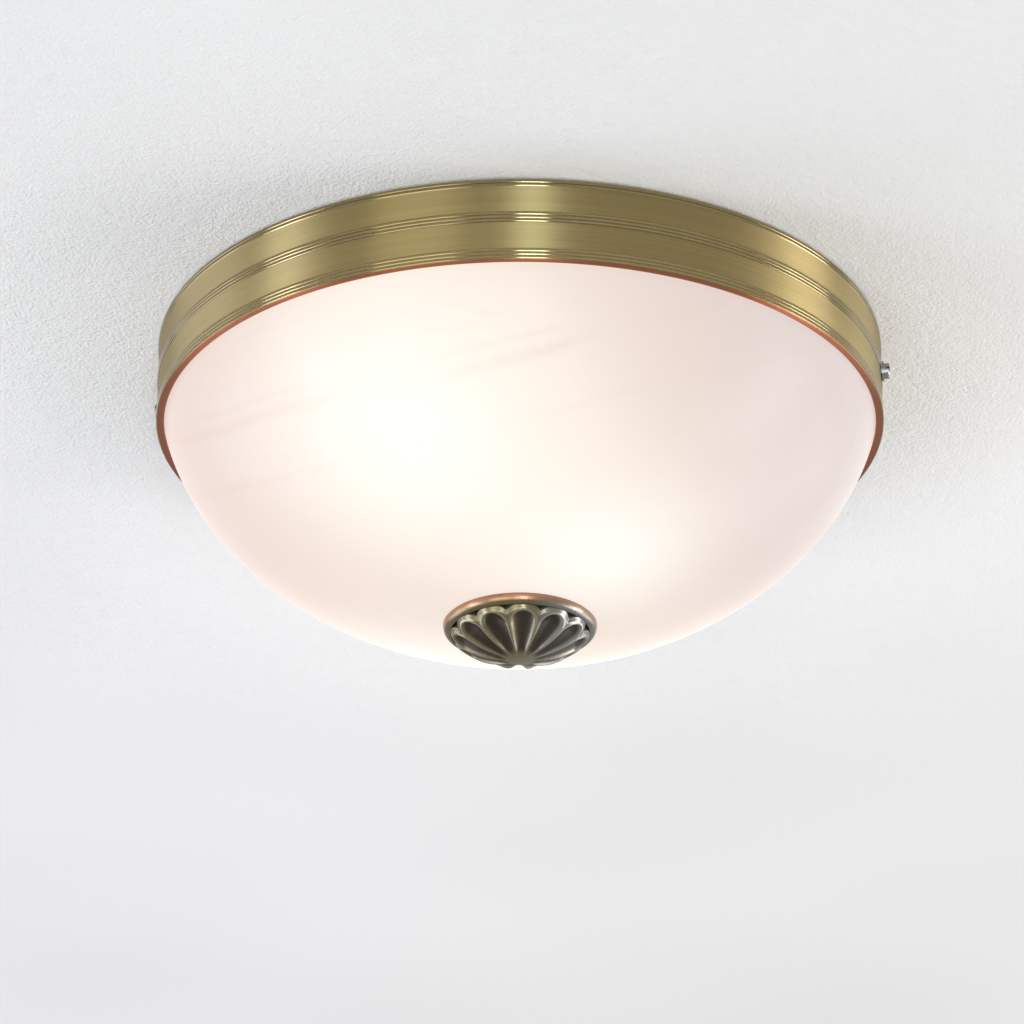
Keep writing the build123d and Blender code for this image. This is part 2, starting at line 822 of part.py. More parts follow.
# Terminal block with two through bores, a fixing screw and four clamp screws
bore_z = plate_z - block_h / 2
block_plane = Plane(
    origin=around(block_out, 0, plate_z, block_azimuth),
    x_dir=around(1, 0, 0, block_azimuth),
    z_dir=(0, 0, -1),
)
block_inside = block_out - block_len / 2
with BuildPart() as terminal_block:
    with BuildSketch(block_plane):
        RectangleRounded(block_len, block_w, 1.5)
    extrude(amount=block_h)
    with BuildSketch(
        Plane(
            origin=around(block_inside - 1, 0, bore_z, block_azimuth),
            x_dir=around(0, 1, 0, block_azimuth),
            z_dir=around(1, 0, 0, block_azimuth),
        )
    ):
        with GridLocations(pole_pitch, 0, 2, 1):
            Circle(pole_bore_r)
    extrude(amount=block_len + 2, mode=Mode.SUBTRACT)
    with BuildSketch(block_plane.offset(block_h)):
        with GridLocations(clamp_screw_span, pole_pitch, 2, 2):
            Circle(clamp_screw_r + hole_clear)
    extrude(amount=-block_h / 2, mode=Mode.SUBTRACT)
    with BuildSketch(block_plane.offset(block_h)):
        Circle(block_screw_head_r + hole_clear)
    extrude(amount=-block_h / 4, mode=Mode.SUBTRACT)
    with BuildSketch(block_plane):
        Circle(block_screw_r + hole_clear)
    extrude(amount=block_h, mode=Mode.SUBTRACT)
terminal_block.part.label = "terminal_block"
export_step(terminal_block.part, "parts/terminal_block.step")

with BuildPart() as block_screw:
    with BuildSketch(block_plane.offset(-pan_sheet - 1)):
        Circle(block_screw_r)
    extrude(amount=pan_sheet + 1 + block_h * 3 / 4)
    with BuildSketch(block_plane.offset(block_h * 3 / 4)):
        Circle(block_screw_head_r)
    extrude(amount=block_h / 6)
block_screw.part.label = "block_screw"
export_step(block_screw.part, "parts/block_screw.step")

clamp_number = 0
for pole_side in (-1, 1):
    for row in (-1, 1):
        clamp_number += 1
        with BuildPart() as clamp_screw:
            spot = (row * clamp_screw_span / 2, pole_side * pole_pitch / 2)
            with BuildSketch(block_plane.offset(block_h / 2 + lead_r + 0.1)):
                with Locations(spot):
                    Circle(clamp_screw_r)
            extrude(amount=block_h / 2 - lead_r - 0.1 - 1)
            with BuildSketch(block_plane.offset(block_h - 1)):
                with Locations(spot):
                    Rectangle(2.2 * clamp_screw_r, 0.6)
            extrude(amount=-0.8, mode=Mode.SUBTRACT)
        clamp_screw.part.label = f"clamp_screw_{clamp_number}"
        export_step(clamp_screw.part, f"parts/clamp_screw_{clamp_number}.step")

# Earth screw with its washer, threaded into the dish
earth_axis = Axis(around(earth_out, earth_side, 0, block_azimuth), (0, 0, 1))
with BuildPart() as earth_plate:
    with BuildSketch(Plane(origin=around(earth_out, earth_side, plate_z, block_azimuth))):
        Circle(earth_washer_r)
        Circle(earth_r + hole_clear, mode=Mode.SUBTRACT)
    extrude(amount=-earth_washer)
earth_plate.part.label = "earth_washer"
export_step(earth_plate.part, "parts/earth_washer.step")

with BuildPart() as earth_screw:
    head_z = plate_z - earth_washer
    with BuildSketch(Plane(origin=around(earth_out, earth_side, head_z, block_azimuth))):
        Circle(earth_r)
    extrude(amount=dish_z + earth_tip - head_z)
    with BuildSketch(Plane(origin=around(earth_out, earth_side, head_z, block_azimuth))):
        Circle(earth_head_r)
    extrude(amount=-earth_head)
    with BuildSketch(
        Plane(origin=around(earth_out, earth_side, head_z - earth_head, block_azimuth))
    ):
        Rectangle(3 * earth_head_r, 1.0)
    extrude(amount=earth_head / 2, mode=Mode.SUBTRACT)
earth_screw.part.label = "earth_screw"
export_step(earth_screw.part, "parts/earth_screw.step")


def bend_radii(points):
    """Largest arcs that the runs of a route allow, one for each inner point."""
    radii = []
    for before, here, after in zip(points, points[1:], points[2:]):
        run_in, run_out = here - before, after - here
        half_turn = radians(run_in.get_angle(run_out)) / 2
        radii.append(0.45 * min(run_in.length, run_out.length) / tan(half_turn))
    return radii


# Leads from the terminal block: each holder takes one from the near and one from the far pole
pole = pole_pitch / 2
lead_start = block_inside + lead_into_block
lead_stop = holder_base_r - lead_into_holder
for number, kind, leave, (bend_out, bend_side, bend_z) in (
    (1, "near", 37.0, (28.0, 17.0, -15.0)),
    (1, "far", 31.0, (21.0, 9.0, -14.0)),
    (2, "near", 37.0, (28.0, 17.0, -15.0)),
    (2, "far", 37.0, (28.0, 6.0, -17.0)),
):
    hand = -1 if number == 1 else 1
    along = lead_high if kind == "near" else lead_low
    side = hand * (lead_apart + pole if kind == "near" else lead_apart - pole)
    goal_side = hand * (face_out + along * cos(tilt))
    goal_z = lamp_at(lamp_azimuth, along).Z
    route = [
        around(lead_start, side, bore_z, block_azimuth),
        around(leave, side, bore_z, block_azimuth),
        around(bend_out, hand * bend_side, bend_z, block_azimuth),
        around(lead_stop + lead_straight, goal_side, goal_z, block_azimuth),
        around(lead_stop, goal_side, goal_z, block_azimuth),
    ]
    radii = bend_radii(route)
    with BuildPart() as lead:
        with BuildLine() as lead_line:
            FilletPolyline(*route, radius=radii)
        with BuildSketch(Plane(origin=route[0], z_dir=route[1] - route[0])):
            Circle(lead_r)
        sweep()
    run = sum(edge.length for edge in lead_line.edges())
    print(f"lead {kind} {number}: radii", [round(r, 1) for r in radii],
          f"volume {lead.part.volume:.1f}, section times length {pi * lead_r**2 * run:.1f}")
    lead.part.label = f"lead_{kind}_{number}"
    export_step(lead.part, f"parts/lead_{kind}_{number}.step")
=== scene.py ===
"""Flush mount ceiling light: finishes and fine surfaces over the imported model."""

import json
import math

import bpy
import numpy as np
from bpy.props import FloatProperty, FloatVectorProperty, PointerProperty
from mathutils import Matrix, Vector


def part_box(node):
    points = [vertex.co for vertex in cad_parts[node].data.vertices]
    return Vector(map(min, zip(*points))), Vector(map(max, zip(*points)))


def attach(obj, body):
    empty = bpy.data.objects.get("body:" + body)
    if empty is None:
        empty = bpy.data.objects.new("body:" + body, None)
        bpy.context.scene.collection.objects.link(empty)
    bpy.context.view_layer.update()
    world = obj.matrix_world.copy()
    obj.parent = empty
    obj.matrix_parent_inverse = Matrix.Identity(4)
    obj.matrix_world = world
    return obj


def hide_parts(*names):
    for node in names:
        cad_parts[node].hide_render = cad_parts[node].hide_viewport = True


bl_info = {
    "name": "Flush Mount Ceiling Light",
    "version": (1, 0, 0),
    "blender": (4, 5, 0),
    "location": "View3D > Sidebar > Ceiling Light",
    "description": "Builds the reeded ring, veined bowl, rosette, bulbs and finishes of a ceiling light",
    "category": "Add Mesh",
}

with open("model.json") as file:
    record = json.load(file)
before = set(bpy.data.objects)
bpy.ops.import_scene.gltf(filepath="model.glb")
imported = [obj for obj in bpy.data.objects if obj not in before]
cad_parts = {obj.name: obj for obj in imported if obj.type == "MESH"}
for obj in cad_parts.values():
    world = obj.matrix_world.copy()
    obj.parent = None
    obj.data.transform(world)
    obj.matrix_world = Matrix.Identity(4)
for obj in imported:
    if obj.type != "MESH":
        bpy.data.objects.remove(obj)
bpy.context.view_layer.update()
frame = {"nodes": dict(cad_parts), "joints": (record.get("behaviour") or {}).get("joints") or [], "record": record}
RING_LOW, RING_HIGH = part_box("trim_ring")
BOWL_LOW, BOWL_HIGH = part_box("glass_bowl")
ROSETTE_LOW, ROSETTE_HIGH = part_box("rosette")
REED_DEFAULT = 0.00035
# Rays shorter than this pass the ceiling, so the back of the pan isn't black from above
CONTACT_GAP = 0.016
# The first reed of each band of the ring, from its top or bottom edge, and the lip's inner radius
TOP_REED_DROP, MIDDLE_REED_DROP, BOTTOM_REED_LIFT = 0.0009, 0.01775, 0.001
LIP_RADIUS = 0.1568
# The rosette: level of the glass under its rim, and heights of the rim and of the ground below it
GLASS_LEVEL, BACK_GAP, RIM_HEIGHT, GROUND_HEIGHT = -0.1304, 0.0001, 0.0045, 0.0027
# The camera: how far it looks to the side of the middle, how far up, and its focal length
AIM_TURN, AIM_LIFT, FOCAL_LENGTH = math.radians(0.1045), math.radians(25.728), 169.69
# Where the bulbs start: from the middle of the light out and down to the face that carries a
# holder, then along the bulb's axis to the top of the contact tongue
HOLDER_OUT, HOLDER_DROP, TONGUE_RISE = 0.0197, 0.0273, 0.012
# The cap of a bulb, along its axis: start, start and end of its thread, end, and its radii
CAP_START, THREAD_START, THREAD_END, CAP_END = 0.0050, 0.0052, 0.0205, 0.0250
THREAD_RADIUS, THREAD_HEIGHT = 0.00655, 0.00033
# The neck of a bulb's glass: its outer and inner radius, its end, and the inside over the outside
NECK_RADIUS, NECK_INSIDE, NECK_END, GLASS_SHARE = 0.0084, 0.0074, 0.0290, 0.9556


# Sizes and colours a user would change


class RingSizes(bpy.types.PropertyGroup):
    radius: FloatProperty(
        name="Radius", description="Outer radius of the flats of the trim ring",
        default=RING_HIGH.x - REED_DEFAULT, unit="LENGTH", subtype="DISTANCE")
    top: FloatProperty(
        name="Top", description="Level of the top edge of the trim ring",
        default=RING_HIGH.z, unit="LENGTH", subtype="DISTANCE")
    bottom: FloatProperty(
        name="Bottom", description="Level of the underside of the trim ring",
        default=RING_LOW.z, unit="LENGTH", subtype="DISTANCE")
    wall: FloatProperty(
        name="Wall", description="Sheet thickness of the trim ring",
        default=0.0009, unit="LENGTH", subtype="DISTANCE")
    reed_height: FloatProperty(
        name="Reed height", description="How far a reed stands out from the flats",
        default=REED_DEFAULT, unit="LENGTH", subtype="DISTANCE")
    reed_pitch: FloatProperty(
        name="Reed pitch", description="Distance between neighbouring reeds",
        default=0.00165, unit="LENGTH", subtype="DISTANCE")
    light_brass: FloatVectorProperty(
        name="Brass", description="Colour of the brushed brass",
        default=(0.38, 0.295, 0.128), subtype="COLOR", size=3, min=0, max=1)
    # Painted shade: the colour that darkens the brass between the reeds, where shade falls
    groove_shade: FloatVectorProperty(
        name="Brass in grooves", description="Colour of the brass between the reeds",
        default=(0.075, 0.056, 0.028), subtype="COLOR", size=3, min=0, max=1)
    copper: FloatVectorProperty(
        name="Copper lip", description="Colour of the lip that is turned in under the glass",
        default=(0.40, 0.135, 0.065), subtype="COLOR", size=3, min=0, max=1)


class BowlSizes(bpy.types.PropertyGroup):
    half_width: FloatProperty(
        name="Half width", description="Horizontal half axis of the ellipsoid of the glass",
        default=0.16061, unit="LENGTH", subtype="DISTANCE")
    half_height: FloatProperty(
        name="Half height", description="Vertical half axis of the ellipsoid of the glass",
        default=0.1217, unit="LENGTH", subtype="DISTANCE")
    centre: FloatProperty(
        name="Centre", description="Level of the centre of the ellipsoid",
        default=-0.0112, unit="LENGTH", subtype="DISTANCE")
    wall: FloatProperty(
        name="Wall", description="Thickness of the glass",
        default=0.004, unit="LENGTH", subtype="DISTANCE")
    hole: FloatProperty(
        name="Hole", description="Radius of the hole in the middle of the glass",
        default=0.006, unit="LENGTH", subtype="DISTANCE")
    # Painted light: the glow of the glass is painted into its emission, in these colours and strength
    edge_glow: FloatVectorProperty(
        name="Edge tint", description="Light through the glass near the ring",
        default=(0.685, 0.545, 0.487), subtype="COLOR", size=3, min=0, max=2)
    warm_glow: FloatVectorProperty(
        name="Warm tint", description="Light through the glass round the lit spots",
        default=(0.86, 0.735, 0.63), subtype="COLOR", size=3, min=0, max=2)
    glow: FloatProperty(
        name="Glow", description="How bright the lit spots of the glass are",
        default=0.6, min=0.0, max=4.0, subtype="FACTOR")


class RosetteSizes(bpy.types.PropertyGroup):
    radius: FloatProperty(
        name="Radius", description="Outer radius of the rosette",
        default=ROSETTE_HIGH.x, unit="LENGTH", subtype="DISTANCE")
    tip: FloatProperty(
        name="Tip", description="Level of the lowest point of the rosette",
        default=-0.1475, unit="LENGTH", subtype="DISTANCE")
    dome: FloatProperty(
        name="Dome radius", description="Radius of the sphere that the flower is cut from",
        default=0.045, unit="LENGTH", subtype="DISTANCE")
    petal_depth: FloatProperty(
        name="Petal depth", description="Depth of a petal's hollow at its outer end",
        default=0.0028, unit="LENGTH", subtype="DISTANCE")
    turn: FloatProperty(
        name="Turn", description="Direction of the first petal",
        default=math.radians(10.0), unit="ROTATION", subtype="ANGLE")
    raised: FloatVectorProperty(
        name="Raised metal", description="Colour of the worn raised edges",
        default=(0.20, 0.165, 0.088), subtype="COLOR", size=3, min=0, max=1)
    hollow: FloatVectorProperty(
        name="Hollow metal", description="Colour of the dark patina in the hollows",
        default=(0.035, 0.026, 0.021), subtype="COLOR", size=3, min=0, max=1)
    rim_copper: FloatVectorProperty(
        name="Rim copper", description="Colour of the coppery wash on the rim",
        default=(0.52, 0.25, 0.14), subtype="COLOR", size=3, min=0, max=1)
    # Painted reflection: greyer, silvery metal painted on the +X side of the rosette
    side_sheen: FloatVectorProperty(
        name="Worn silver", description="Colour of the greyer worn metal on the right hand petals",
        default=(0.30, 0.30, 0.285), subtype="COLOR", size=3, min=0, max=1)


class BulbSizes(bpy.types.PropertyGroup):
    globe: FloatProperty(
        name="Globe radius", description="Radius of the glass globe of a bulb",
        default=0.0225, unit="LENGTH", subtype="DISTANCE")
    length: FloatProperty(
        name="Length", description="Length of a bulb over its tip",
        default=0.078, unit="LENGTH", subtype="DISTANCE")
    thread_pitch: FloatProperty(
        name="Thread pitch", description="Pitch of the rolled thread of the cap",
        default=0.00282, unit="LENGTH", subtype="DISTANCE")
    lit: FloatVectorProperty(
        name="Lit glass", description="Light of the frosted globe",
        default=(1.0, 0.93, 0.80), subtype="COLOR", size=3, min=0, max=2)


class FittingColours(bpy.types.PropertyGroup):
    white_paint: FloatVectorProperty(
        name="White paint", description="Paint of the ceiling pan",
        default=(0.86, 0.86, 0.85), subtype="COLOR", size=3, min=0, max=1)
    zinc: FloatVectorProperty(
        name="Zinc", description="Plated steel of the bracket and fasteners",
        default=(0.62, 0.63, 0.64), subtype="COLOR", size=3, min=0, max=1)
    nickel: FloatVectorProperty(
        name="Nickel", description="Plated side screws and washers",
        default=(0.34, 0.33, 0.30), subtype="COLOR", size=3, min=0, max=1)


class StageSettings(bpy.types.PropertyGroup):
    ceiling: FloatVectorProperty(
        name="Ceiling", description="Colour of the ceiling",
        default=(0.610, 0.590, 0.548), subtype="COLOR", size=3, min=0, max=1)
    azimuth: FloatProperty(
        name="Azimuth", description="Direction the camera stands in, from -Y towards +X",
        default=math.radians(6.8), unit="ROTATION", subtype="ANGLE")
    elevation: FloatProperty(
        name="Elevation", description="How far the camera stands below the ceiling, as an angle",
        default=math.radians(27.57), unit="ROTATION", subtype="ANGLE")
    distance: FloatProperty(
        name="Distance", description="From the camera to the middle of the ceiling face",
        default=2.1486, unit="LENGTH", subtype="DISTANCE")


# Surfaces


def put_mesh(name, points, quads, tris=(), values=None):
    """Makes a smooth shaded object from arrays of corners; values become point attributes."""
    mesh = bpy.data.meshes.new(name)
    faces = [tuple(f) for f in quads.tolist()] + [tuple(t) for t in np.array(tris).tolist()]
    mesh.from_pydata(points.tolist(), [], faces)
    mesh.polygons.foreach_set("use_smooth", np.ones(len(mesh.polygons), dtype=bool))
    for key, data in (values or {}).items():
        layer = mesh.attributes.new(key, "FLOAT", "POINT")
        layer.data.foreach_set("value", np.asarray(data, dtype=np.float32))
    mesh.update()
    piece = bpy.data.objects.new(name, mesh)
    bpy.context.scene.collection.objects.link(piece)
    return piece


def grid_quads(rows, cols, close_rows):
    """Quads of a grid whose columns wrap round, and whose rows wrap too if asked."""
    i = np.arange(rows if close_rows else rows - 1)
    j = np.arange(cols)
    a, b = np.meshgrid(i, j, indexing="ij")
    a2, b2 = (a + 1) % rows, (b + 1) % cols
    return np.stack([a * cols + b, a * cols + b2, a2 * cols + b2, a2 * cols + b], axis=-1).reshape(-1, 4)


def spin_loop(name, profile, cols, values=None):
    """A closed section spun round the Z axis: point (r, z) goes to (r cos t, r sin t, z).

    The section runs so that the outside lies on its right seen with r to the right and z up."""
    turn = np.linspace(0, 2 * np.pi, cols, endpoint=False)
    r, z = profile[:, :1], profile[:, 1:]
    points = np.stack([r * np.cos(turn), r * np.sin(turn), z + 0 * turn], axis=-1).reshape(-1, 3)
    spread = {k: np.repeat(v, cols) for k, v in (values or {}).items()}
    return put_mesh(name, points, grid_quads(len(profile), cols, True), values=spread)


def capped_rows(name, rows, values=None):
    """A stack of closed rows of points, each end drawn together in one middle point."""
    count, cols = rows.shape[:2]
    first, last = rows[0].mean(axis=0), rows[-1].mean(axis=0)
    points = np.concatenate([rows.reshape(-1, 3), [first, last]])
    quads = grid_quads(count, cols, False)
    j = np.arange(cols)
    j2 = (j + 1) % cols
    base = (count - 1) * cols
    start = np.stack([np.full(cols, count * cols), j2, j], axis=-1)
    end = np.stack([np.full(cols, count * cols + 1), base + j, base + j2], axis=-1)
    tris = np.concatenate([start, end])
    spread = {}
    for key, data in (values or {}).items():
        spread[key] = np.concatenate([data.reshape(-1), [data[0].mean(), data[-1].mean()]])
    return put_mesh(name, points, quads, tris, spread)


def arc_points(centre, radius, start, end, count):
    """Points on a circle from one angle to another, in degrees."""
    t = np.radians(np.linspace(start, end, count))
    return np.stack([centre[0] + radius * np.cos(t), centre[1] + radius * np.sin(t)], axis=-1)


def smooth(x):
    """Eases from 0 to 1 with level ends."""
    x = np.clip(x, 0, 1)
    return x * x * (3 - 2 * x)


def ring_section(p):
    """Section of the trim ring, with a groove value, 1 at the foot of a reed, and a crest value."""
    half = p.reed_pitch / 2
    top, low, r = p.top, p.bottom, p.radius
    crests = [top - TOP_REED_DROP - i * p.reed_pitch for i in range(2)]
    crests += [top - MIDDLE_REED_DROP + (1 - i) * p.reed_pitch for i in range(3)]
    crests += [low + BOTTOM_REED_LIFT + (2 - i) * p.reed_pitch for i in range(3)]
    z = np.unique(np.concatenate([
        np.linspace(top - 0.0001, low + 0.0003, 90),
        *[np.linspace(c - half, c + half, 11) for c in crests]]))[::-1]
    z = z[(z <= top - 0.0001) & (z >= low + 0.0003)]
    near = np.abs(z[:, None] - np.array(crests)[None, :]).min(axis=1)
    inside = near < half
    swell = np.where(inside, np.sqrt(np.clip(1 - (near / half) ** 2, 0, 1)), 0.0)
    wall = np.stack([r - 0.00012 * (inside & (swell < 0.35)) + p.reed_height * swell, z], axis=-1)
    groove = np.where(inside, np.clip(1 - swell * 1.35, 0, 1), 0.0)
    inner = r - p.wall
    bend = arc_points((r - 0.0006, low + 0.0006), 0.0006, -10, -90, 6)
    lip = np.array([[LIP_RADIUS + 0.0004, low], [LIP_RADIUS, low + 0.0003],
                    [LIP_RADIUS, low + p.wall - 0.0002], [LIP_RADIUS + 0.0002, low + p.wall],
                    [inner, low + p.wall], [inner, top], [r - 0.0002, top]])
    section = np.concatenate([wall, bend, lip])
    rest = np.zeros(len(bend) + len(lip))
    return section, np.concatenate([groove, rest]), np.concatenate([swell, rest])


def bowl_section(p):
    """Section of the glass: two ellipses a wall apart, r = a sin t and z = c - b cos t."""
    low = RING_LOW.z - 0.0012
    reach = math.acos((p.centre - low) / p.half_height)
    t = np.linspace(math.asin(p.hole / p.half_width), reach, 110)
    outer = np.stack([p.half_width * np.sin(t), p.centre - p.half_height * np.cos(t)], axis=-1)
    a, b = p.half_width - p.wall, p.half_height - p.wall
    seat, top, rim = RING_LOW.z + 0.0017, BOWL_HIGH.z, BOWL_HIGH.x
    reach = math.acos((p.centre - top) / b)
    s = np.linspace(reach, math.asin(p.hole / a), 80)
    inner = np.stack([a * np.sin(s), p.centre - b * np.cos(s)], axis=-1)
    neck = outer[-1, 0]
    edge = np.concatenate([
        [[neck, seat]], [[rim - 0.0003, seat], [rim, seat + 0.0003]],
        arc_points((rim - 0.0008, top - 0.0008), 0.0008, 0, 90, 7),
        arc_points((inner[0, 0] + 0.0008, top - 0.0008), 0.0008, 90, 165, 6)])
    return np.concatenate([outer, edge, inner[1:]])


def rosette_rows(p, cols=432):
    """Rows of the rosette from its tip over the petals and rim to its back, and a patina value.

    The flower is a sphere cap. Each of its twelve petals is a hollow that narrows to the middle
    and ends in a half round; inside it the surface sinks by depth times one minus q squared,
    where q is the distance from the petal's middle line over its half width."""
    turn = np.linspace(0, 2 * np.pi, cols, endpoint=False)
    fold = (turn - p.turn + np.pi / 12) % (np.pi / 6) - np.pi / 12
    k = p.radius / 0.0334
    lobe_out, lobe_r, end_r, half_w = 0.0213 * k, 0.0092 * k, 0.0236 * k, 0.0052 * k
    edge = lobe_out * np.cos(fold) + np.sqrt(lobe_r**2 - (lobe_out * np.sin(fold)) ** 2)
    mid = p.tip + p.dome
    back = GLASS_LEVEL - BACK_GAP
    rim, sink = back - RIM_HEIGHT, back - GROUND_HEIGHT

    share = np.concatenate([np.linspace(0.006, 0.9, 60), np.linspace(0.91, 1.0, 12)])[:, None]
    r = share * edge[None, :]
    across = r * np.sin(fold)[None, :]
    along = r * np.cos(fold)[None, :]
    half = np.maximum(half_w * along / end_r, 1e-5)
    gap = np.where(along < end_r, np.abs(across) / half,
                   np.sqrt(across**2 + (along - end_r) ** 2) / half_w)
    deep = p.petal_depth * (0.12 + 0.88 * np.clip(along / end_r, 0, 1))
    deep = deep * smooth((along - 0.0050 * k) / (0.008 * k))
    inside = np.clip(1 - gap**2, 0, 1)
    border = np.exp(-(((gap - 1.13) / 0.11) ** 2)) * 0.00030 * smooth(along / end_r * 1.6)
    sag = deep * inside * smooth((1.02 - gap) / 0.10 + 0.2) - border
    rounding = 0.0011 * smooth((share - 0.955) / 0.045) ** 2
    z = mid - np.sqrt(p.dome**2 - r**2) + sag + rounding
    out = smooth((along - 0.0045 * k) / (0.005 * k))
    patina = smooth(inside * 1.7) * 0.95 * out + 0.25 * smooth((gap - 1.22) / 0.2) * (gap > 1)
    flower = np.stack([r * np.cos(turn), r * np.sin(turn), z], axis=-1)

    foot_r, foot_z = edge + 0.00012, z[-1]
    drop = np.linspace(0, 1, 8)[1:, None]
    wall_r = foot_r + 0.00035 * smooth(drop)
    wall_z = foot_z + (sink - foot_z) * smooth(drop * 0.9 + 0.1)
    wall = np.stack([wall_r * np.cos(turn), wall_r * np.sin(turn), wall_z], axis=-1)
    sink_r = 0.0301 * k
    floor = np.linspace(0, 1, 5)[1:, None]
    floor_r = wall_r[-1] + (sink_r - wall_r[-1]) * floor
    ground = np.stack([floor_r * np.cos(turn), floor_r * np.sin(turn),
                       sink + 0 * floor_r], axis=-1)

    def hoop(profile):
        return np.stack([profile[:, :1] * np.cos(turn), profile[:, :1] * np.sin(turn),
                         profile[:, 1:] + 0 * turn], axis=-1)

    t = np.linspace(0, 1, 18)[:, None]
    start, top, end = (np.array(v) for v in (
        [sink_r + 0.00005, rim], [p.radius - 0.0002, rim + 0.0001], [p.radius, back - 0.0008]))
    curve = start * (1 - t) ** 2 + 2 * top * t * (1 - t) + end * t**2
    rise = np.array([[sink_r, sink - 0.0002], [sink_r + 0.00002, rim + 0.0003]])
    behind = np.array([[p.radius - 0.0008, back], [0.0290 * k, back - 0.0004],
                       [0.0286 * k, back - 0.0012], [0.0200 * k, -0.1376], [0.0076, -0.1415],
                       [0.0075, -0.1344], [0.0031, -0.1344], [0.0030, -0.1350]])
    rim_rows = hoop(np.concatenate([rise, curve, behind]))
    rows = np.concatenate([flower, wall, ground, rim_rows])
    dark = np.concatenate([
        patina, np.full(wall.shape[:2], 0.85), np.full(ground.shape[:2], 1.0),
        np.full((2, cols), 0.8), np.full((len(curve), cols), 0.18),
        np.full((len(behind), cols), 0.5)])
    # Painted highlight: the ridge value marks a thin line along each petal's border
    ridge = np.concatenate([np.exp(-(((gap - 1.10) / 0.06) ** 2)) * out
                            + 0 * patina, np.zeros((rows.shape[0] - len(patina), cols))])
    on_rim = np.zeros(dark.shape)
    on_rim[-len(curve) - len(behind):-len(behind)] = smooth((t - 0.50) / 0.25)
    return rows, dark, ridge, on_rim


BULB_TURN = np.linspace(0, 2 * np.pi, 96, endpoint=False)


def bulb_circles(number):
    """Returns a function that turns rows of (along, radius) into circles round a bulb's axis."""
    joint = next(j for j in frame["joints"] if j["name"] == f"bulb_{number}_out")
    out = np.array(joint["axis"], dtype=float)
    out /= np.linalg.norm(out)
    side = np.array([-out[1], out[0], 0.0])
    side /= np.linalg.norm(side)
    up = np.cross(out, side)
    flat = np.array([out[0], out[1], 0.0]) / math.hypot(out[0], out[1])
    root = flat * HOLDER_OUT + np.array([0, 0, -HOLDER_DROP]) + out * TONGUE_RISE

    def circles(along, radius):
        along, radius = along[..., None], radius[..., None]
        return (root + along * out
                + radius * (np.cos(BULB_TURN)[:, None] * side + np.sin(BULB_TURN)[:, None] * up))

    return circles


def cap_profile(p):
    """Rows of a bulb's cap from its insulator over the thread to the skirt: along and radius."""
    t = np.linspace(0, 1, 60)[:, None]
    u = THREAD_START + t * (THREAD_END - THREAD_START) + 0 * BULB_TURN
    wave = np.cos(2 * np.pi * u / p.thread_pitch - BULB_TURN)
    r = THREAD_RADIUS + THREAD_HEIGHT * wave * smooth(t / 0.08) * smooth((1 - t) / 0.08)
    skirt = np.linspace(0, 1, 8)[1:, None] + 0 * BULB_TURN
    level = 0 * BULB_TURN
    along = np.concatenate([
        np.array([[CAP_START], [CAP_START]]) + level, u,
        THREAD_END + skirt * (CAP_END - THREAD_END), np.array([[CAP_END]]) + level])
    radius = np.concatenate([
        np.array([[0.0055], [0.0063]]) + level, r,
        0.0066 + 0.0016 * smooth(skirt), np.array([[0.0078]]) + level])
    return along, radius


def globe_profile(p):
    """Closed section of a bulb's glass: out over the neck and globe and back on the inside."""
    mid = p.length - p.globe
    away = math.hypot(NECK_RADIUS, mid - NECK_END)
    lean = math.asin(NECK_RADIUS / away) + math.acos(p.globe / away)
    s = np.linspace(lean, math.pi - 0.02, 70)
    ball = np.stack([mid - p.globe * np.cos(s), p.globe * np.sin(s)], axis=-1)
    soft = np.linspace(0, 1, 10)[:, None]
    first, pull = np.array([CAP_END, NECK_RADIUS]), np.array([0.0300, NECK_RADIUS])
    stem = first * (1 - soft) ** 2 + 2 * pull * soft * (1 - soft) + ball[0] * soft**2
    inner = ball[::-1]
    inner = np.stack([mid + (inner[:, 0] - mid) * GLASS_SHARE, inner[:, 1] * GLASS_SHARE], axis=-1)
    close = np.array([[NECK_END, NECK_INSIDE], [CAP_END, NECK_INSIDE]])
    return np.concatenate([stem, ball[1:], inner, close])


# Shader maths


class Value:
    """A socket with Python's arithmetic: each operator adds one Math node."""

    def __init__(self, paint, socket):
        self.paint, self.socket = paint, socket

    def math(self, operation, *others):
        made = self.paint.node("ShaderNodeMath", {"operation": operation},
                               dict(enumerate((self, *others))))
        return Value(self.paint, made.outputs[0])

    def __add__(self, other):
        return self.math("ADD", other)

    def __sub__(self, other):
        return self.math("SUBTRACT", other)

    def __mul__(self, other):
        return self.math("MULTIPLY", other)

    def __truediv__(self, other):
        return self.math("DIVIDE", other)

    def __pow__(self, other):
        return self.math("POWER", other)

    def __neg__(self):
        return self * -1.0

    def __rsub__(self, other):
        return -self + other

    def __rtruediv__(self, other):
        return self**-1.0 * other

    __radd__ = __add__
    __rmul__ = __mul__

    def clamp(self):
        return self.math("MINIMUM", 1.0).math("MAXIMUM", 0.0)

    def ease(self, low, high):
        """0 below low, 1 above high, smooth between them."""
        made = self.paint.node("ShaderNodeMapRange", {"interpolation_type": "SMOOTHSTEP"},
                               {"Value": self, "From Min": low, "From Max": high})
        return Value(self.paint, made.outputs["Result"])


